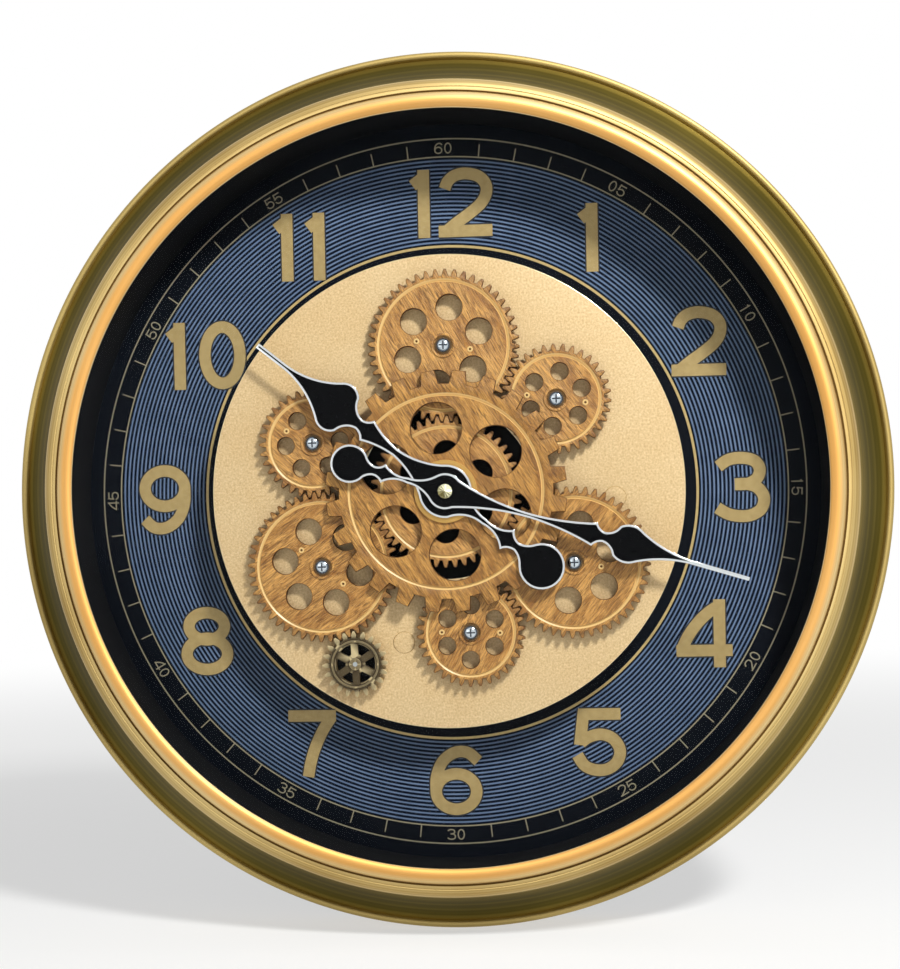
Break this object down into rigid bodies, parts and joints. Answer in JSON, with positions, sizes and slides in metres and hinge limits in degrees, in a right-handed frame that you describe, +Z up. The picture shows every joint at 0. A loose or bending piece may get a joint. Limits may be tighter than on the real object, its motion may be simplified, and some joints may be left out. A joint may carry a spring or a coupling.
{
  "type": "wall clock with visible gears",
  "caption": "Round wall clock with a gold metal frame and glass: wood-grain gears turn on a raised gold plate in the middle of a dark printed dial, under black spade hands.",
  "frame": {"origin": "centre of the hanger's keyhole entry, on the wall plane; the dial's axis is 232 mm below it", "axes": "+Y points into the wall and the dial faces -Y; +Z points up towards twelve; +X points to three"},
  "size_m": [0.5924, 0.0826, 0.5924],
  "materials": {
    "frame_gold": "brushed gold anodised",
    "clear_glass": "polished",
    "black_rubber": "soft matt",
    "black_plastic": "satin moulded",
    "printed_dial": "printed satin lacquer",
    "champagne_plate": "fine champagne grain",
    "gold_caps": "satin",
    "grained_wood": "satin",
    "bronze": "antique",
    "bright_steel": "polished",
    "turned_brass": "satin turned",
    "plain_steel": "zinc plated",
    "black_enamel": "gloss black with silver edge",
    "cell_jacket": "plain jacket",
    "black_board": "matt black"
  },
  "bodies": {
    "case": {"bezel_frame": "frame_gold", "glass": "clear_glass", "glass_gasket": "black_rubber", "dial_skirt": "black_plastic", "dial_board": "printed_dial", "gear_drum": "black_plastic", "drum_screws": "plain_steel", "gear_plate": "champagne_plate", "plate_screws": "gold_caps", "plate_posts": "plain_steel", "axle_posts": "plain_steel", "axle_washers": "bright_steel", "axle_screws": "bright_steel", "drive_gearbox": "black_plastic", "motor_screws": "plain_steel", "drive_motor": "plain_steel", "movement_carrier": "black_plastic", "carrier_screws": "plain_steel", "movement_case": "black_plastic", "movement_stem": "turned_brass", "stem_washer": "bright_steel", "stem_nut": "turned_brass", "movement_cell": "cell_jacket", "battery_tray": "black_plastic", "drive_cells": "cell_jacket", "tray_screws": "plain_steel", "back_board": "black_board", "frame_screws": "plain_steel", "dial_spacers": "black_plastic", "spacer_screws": "plain_steel", "hanger_plate": "plain_steel", "hanger_screws": "plain_steel", "wall_pads": "black_rubber"},
    "minute_hand_group": {"minute_arbor": "turned_brass", "minute_hand": "black_enamel", "hand_nut": "turned_brass"},
    "hour_hand_group": {"hour_pipe": "turned_brass", "hour_hand": "black_enamel"},
    "setting_knob": {"set_knob": "black_plastic"},
    "centre_wheels": {"centre_gear": "grained_wood", "centre_wheel": "grained_wood", "centre_bush": "turned_brass", "bush_clip": "plain_steel"},
    "top_wheel": {"large_gear_top": "grained_wood"},
    "right_wheel": {"large_gear_right": "grained_wood"},
    "left_wheel": {"large_gear_left": "grained_wood"},
    "upper_small_wheel": {"small_gear_upper": "grained_wood"},
    "lower_small_wheel": {"small_gear_lower": "grained_wood"},
    "left_small_wheel": {"small_gear_left": "grained_wood"},
    "drive_pinion_group": {"drive_pinion": "bronze", "motor_shaft": "plain_steel"}
  },
  "joints": [
    {"name": "minute_hand_turn", "type": "hinge", "parent": "case", "child": "minute_hand_group", "pos_m": [0, -0.0725, -0.232], "axis": [0, 1, 0], "continuous": true},
    {"name": "hour_hand_turn", "type": "hinge", "parent": "case", "child": "hour_hand_group", "pos_m": [0, -0.0707, -0.232], "axis": [0, 1, 0], "continuous": true},
    {"name": "setting_knob_turn", "type": "hinge", "parent": "case", "child": "setting_knob", "pos_m": [0.014, -0.0197, -0.218], "axis": [0, 1, 0], "continuous": true},
    {"name": "centre_wheels_turn", "type": "hinge", "parent": "case", "child": "centre_wheels", "pos_m": [0, -0.066, -0.232], "axis": [0, 1, 0], "continuous": true},
    {"name": "top_wheel_turn", "type": "hinge", "parent": "case", "child": "top_wheel", "pos_m": [0, -0.061, -0.136], "axis": [0, 1, 0], "continuous": true},
    {"name": "right_wheel_turn", "type": "hinge", "parent": "case", "child": "right_wheel", "pos_m": [0.08314, -0.061, -0.28], "axis": [0, 1, 0], "continuous": true},
    {"name": "left_wheel_turn", "type": "hinge", "parent": "case", "child": "left_wheel", "pos_m": [-0.08314, -0.061, -0.28], "axis": [0, 1, 0], "continuous": true},
    {"name": "upper_small_wheel_turn", "type": "hinge", "parent": "case", "child": "upper_small_wheel", "pos_m": [0.07323, -0.061, -0.1729], "axis": [0, 1, 0], "continuous": true},
    {"name": "lower_small_wheel_turn", "type": "hinge", "parent": "case", "child": "lower_small_wheel", "pos_m": [0.01457, -0.061, -0.32497], "axis": [0, 1, 0], "continuous": true},
    {"name": "left_small_wheel_turn", "type": "hinge", "parent": "case", "child": "left_small_wheel", "pos_m": [-0.08779, -0.061, -0.19813], "axis": [0, 1, 0], "continuous": true},
    {"name": "drive_pinion_turn", "type": "hinge", "parent": "case", "child": "drive_pinion_group", "pos_m": [-0.06258, -0.061, -0.34482], "axis": [0, 1, 0], "continuous": true}
  ],
  "couplings": [
    {"joint": "hour_hand_turn", "follows": "minute_hand_turn", "ratio": 0.083333},
    {"joint": "setting_knob_turn", "follows": "minute_hand_turn", "ratio": -1},
    {"joint": "top_wheel_turn", "follows": "centre_wheels_turn", "ratio": -1},
    {"joint": "right_wheel_turn", "follows": "centre_wheels_turn", "ratio": -1},
    {"joint": "left_wheel_turn", "follows": "centre_wheels_turn", "ratio": -1},
    {"joint": "upper_small_wheel_turn", "follows": "centre_wheels_turn", "ratio": 1.4118},
    {"joint": "lower_small_wheel_turn", "follows": "centre_wheels_turn", "ratio": 1.4118},
    {"joint": "left_small_wheel_turn", "follows": "centre_wheels_turn", "ratio": 1.4118},
    {"joint": "drive_pinion_turn", "follows": "centre_wheels_turn", "ratio": 2.4}
  ]
}
